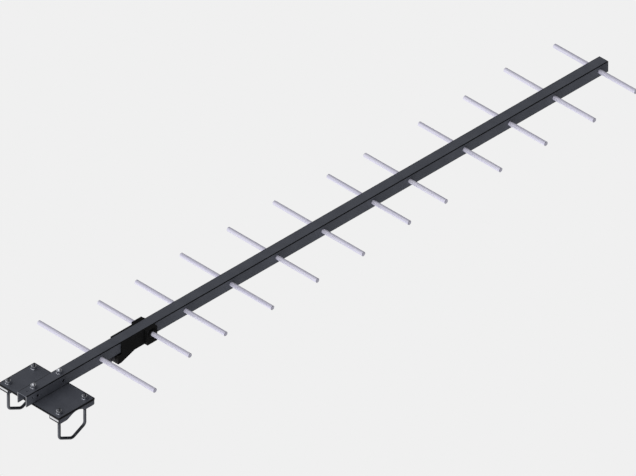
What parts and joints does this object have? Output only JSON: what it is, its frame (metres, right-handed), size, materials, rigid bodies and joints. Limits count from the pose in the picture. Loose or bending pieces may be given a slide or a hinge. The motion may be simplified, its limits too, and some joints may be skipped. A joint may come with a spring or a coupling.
{
  "type": "yagi antenna",
  "caption": "Long Yagi antenna: rod elements through a square boom, a boxed dipole feed with a coaxial socket, and a plate with saddles and U-bolts that clamp it across a mast.",
  "frame": {"origin": "middle of the mast clamp, on the mast's axis, half way between the two U-bolts", "axes": "+X along the boom towards the directors, +Y along the mast to the left, +Z from the mast towards the boom"},
  "size_m": [1.6256, 0.3256, 0.115],
  "materials": {
    "graphite_coat": "satin dark grey anodised coat",
    "rod_aluminium": "drawn, satin",
    "steel": "stainless, smooth",
    "black_plastic": "moulded, fine grain",
    "dark_metal": "black nickel plate",
    "white_plastic": "turned",
    "copper": "stamped strip",
    "laminate": "coated circuit board",
    "gold": "plated",
    "rubber": "matt"
  },
  "bodies": {
    "antenna": {"boom": "graphite_coat", "boom_front_plug": "black_plastic", "mount_plate": "graphite_coat", "reflector": "rod_aluminium", "reflector_screw": "steel", "director_1": "rod_aluminium", "director_1_screw": "steel", "director_2": "rod_aluminium", "director_2_screw": "steel", "director_3": "rod_aluminium", "director_3_screw": "steel", "director_4": "rod_aluminium", "director_4_screw": "steel", "director_5": "rod_aluminium", "director_5_screw": "steel", "director_6": "rod_aluminium", "director_6_screw": "steel", "director_7": "rod_aluminium", "director_7_screw": "steel", "director_8": "rod_aluminium", "director_8_screw": "steel", "director_9": "rod_aluminium", "director_9_screw": "steel", "director_10": "rod_aluminium", "director_10_screw": "steel", "boom_bolt_rear_washer": "steel", "boom_bolt_front_washer": "steel", "u_bolt_left_rear_washer": "steel", "u_bolt_left_front_washer": "steel", "dipole_left": "rod_aluminium", "dipole_bush_left": "black_plastic", "feed_housing_left": "black_plastic", "feed_strap_left": "copper", "u_bolt_right_rear_washer": "steel", "u_bolt_right_front_washer": "steel", "dipole_right": "rod_aluminium", "dipole_bush_right": "black_plastic", "feed_housing_right": "black_plastic", "feed_strap_right": "copper", "housing_screw_rear": "steel", "housing_screw_front": "steel", "connector_body": "dark_metal", "connector_gasket": "rubber", "connector_insulator": "white_plastic", "connector_contact": "gold", "feed_board": "laminate"},
    "u_bolt_left_rear_nut": {"u_bolt_left_rear_nut": "steel"},
    "u_bolt_left_front_nut": {"u_bolt_left_front_nut": "steel"},
    "u_bolt_left": {"u_bolt_left": "steel"},
    "saddle_left": {"saddle_left": "graphite_coat"},
    "u_bolt_right_rear_nut": {"u_bolt_right_rear_nut": "steel"},
    "u_bolt_right_front_nut": {"u_bolt_right_front_nut": "steel"},
    "u_bolt_right": {"u_bolt_right": "steel"},
    "saddle_right": {"saddle_right": "graphite_coat"},
    "boom_bolt_rear_nut": {"boom_bolt_rear_nut": "steel"},
    "boom_bolt_rear": {"boom_bolt_rear": "steel"},
    "boom_bolt_front_nut": {"boom_bolt_front_nut": "steel"},
    "boom_bolt_front": {"boom_bolt_front": "steel"}
  },
  "joints": [
    {"name": "u_bolt_left_slide", "type": "slide", "parent": "antenna", "child": "u_bolt_left", "axis": [0, 0, -1], "range_m": [0, 0.006]},
    {"name": "u_bolt_left_rear_nut_spin", "type": "hinge", "parent": "antenna", "child": "u_bolt_left_rear_nut", "pos_m": [-0.03505, 0.071, 0.043], "axis": [0, 0, 1], "range_deg": [0, 1701]},
    {"name": "u_bolt_left_front_nut_spin", "type": "hinge", "parent": "antenna", "child": "u_bolt_left_front_nut", "pos_m": [0.03505, 0.071, 0.043], "axis": [0, 0, 1], "range_deg": [0, 1701]},
    {"name": "saddle_left_slide", "type": "slide", "parent": "antenna", "child": "saddle_left", "axis": [0, 0, -1], "range_m": [0, 0.035]},
    {"name": "u_bolt_right_slide", "type": "slide", "parent": "antenna", "child": "u_bolt_right", "axis": [0, 0, -1], "range_m": [0, 0.006]},
    {"name": "u_bolt_right_rear_nut_spin", "type": "hinge", "parent": "antenna", "child": "u_bolt_right_rear_nut", "pos_m": [-0.03505, -0.071, 0.043], "axis": [0, 0, 1], "range_deg": [0, 1701]},
    {"name": "u_bolt_right_front_nut_spin", "type": "hinge", "parent": "antenna", "child": "u_bolt_right_front_nut", "pos_m": [0.03505, -0.071, 0.043], "axis": [0, 0, 1], "range_deg": [0, 1701]},
    {"name": "saddle_right_slide", "type": "slide", "parent": "antenna", "child": "saddle_right", "axis": [0, 0, -1], "range_m": [0, 0.035]},
    {"name": "boom_bolt_rear_slide", "type": "slide", "parent": "antenna", "child": "boom_bolt_rear", "axis": [0, 0, -1], "range_m": [0, 0.004]},
    {"name": "boom_bolt_rear_nut_spin", "type": "hinge", "parent": "antenna", "child": "boom_bolt_rear_nut", "pos_m": [-0.03505, 0, 0.0682], "axis": [0, 0, 1], "range_deg": [0, 1134]},
    {"name": "boom_bolt_front_slide", "type": "slide", "parent": "antenna", "child": "boom_bolt_front", "axis": [0, 0, -1], "range_m": [0, 0.004]},
    {"name": "boom_bolt_front_nut_spin", "type": "hinge", "parent": "antenna", "child": "boom_bolt_front_nut", "pos_m": [0.03505, 0, 0.0682], "axis": [0, 0, 1], "range_deg": [0, 1134]}
  ],
  "couplings": [
    {"joint": "u_bolt_left_rear_nut_spin", "follows": "u_bolt_left_slide", "rad_per_m": 4947.4},
    {"joint": "u_bolt_left_front_nut_spin", "follows": "u_bolt_left_slide", "rad_per_m": 4947.4},
    {"joint": "u_bolt_right_rear_nut_spin", "follows": "u_bolt_right_slide", "rad_per_m": 4947.4},
    {"joint": "u_bolt_right_front_nut_spin", "follows": "u_bolt_right_slide", "rad_per_m": 4947.4},
    {"joint": "boom_bolt_rear_nut_spin", "follows": "boom_bolt_rear_slide", "rad_per_m": 4947.4},
    {"joint": "boom_bolt_front_nut_spin", "follows": "boom_bolt_front_slide", "rad_per_m": 4947.4}
  ]
}
